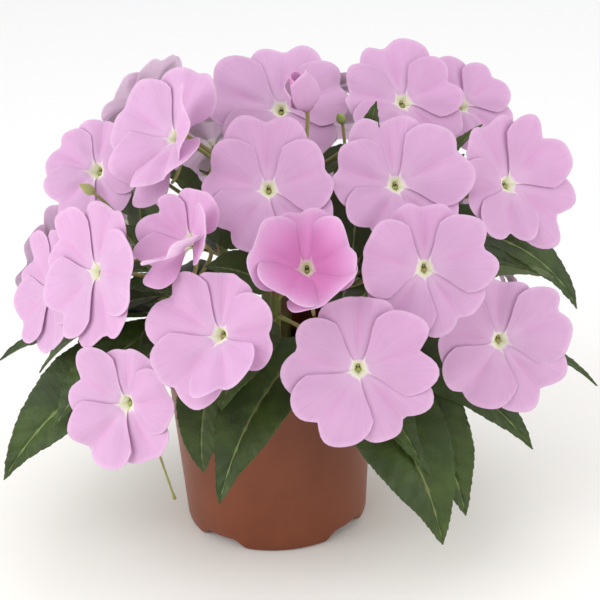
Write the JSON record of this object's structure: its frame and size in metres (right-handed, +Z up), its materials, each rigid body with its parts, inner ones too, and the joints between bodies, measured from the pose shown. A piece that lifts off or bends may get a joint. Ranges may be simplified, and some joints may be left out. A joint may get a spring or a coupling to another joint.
{
  "type": "potted new guinea impatiens",
  "caption": "Bushy flowering bedding plant in a round plastic pot, with flat pale-pink blooms over dark toothed leaves, standing upright on the pot's flat base.",
  "frame": {"origin": "centre of the pot's flat base", "axes": "+Z up out of the pot, -Y towards the front of the plant, +X to the right seen from the front"},
  "size_m": [0.317, 0.2836, 0.2715],
  "materials": {
    "pot_plastic": "satin terracotta-brown thermoformed plastic",
    "soil": "dark crumbly potting soil",
    "leaf": "dark green, slightly glossy leaf with a pale midrib",
    "petal": "soft velvety pale orchid-pink petal"
  },
  "bodies": {
    "root": {"pot": "pot_plastic", "soil": "soil", "leafy_stem_01": "leaf", "leafy_stem_02": "leaf", "leafy_stem_03": "leaf", "leafy_stem_04": "leaf", "leafy_stem_05": "leaf", "leafy_stem_06": "leaf", "leafy_stem_07": "leaf", "leafy_stem_08": "leaf", "leafy_stem_09": "leaf", "leafy_stem_10": "leaf", "bloom_01": "petal", "bloom_02": "petal", "bloom_03": "petal", "bloom_04": "petal", "bloom_05": "petal", "bloom_06": "petal", "bloom_07": "petal", "bloom_08": "petal", "bloom_09": "petal", "bloom_10": "petal", "bloom_11": "petal", "bloom_12": "petal", "bloom_13": "petal", "bloom_14": "petal", "bloom_15": "petal", "bloom_16": "petal", "bloom_17": "petal", "bloom_18": "petal", "bloom_19": "petal", "bloom_20": "petal", "bloom_21": "petal", "bloom_22": "petal", "bloom_23": "petal", "bloom_24": "petal", "bloom_25": "petal", "bloom_26": "petal", "bloom_27": "petal", "bloom_28": "petal", "bloom_29": "petal", "bloom_30": "petal", "bloom_31": "petal", "bud_opening": "petal"}
  },
  "joints": []
}
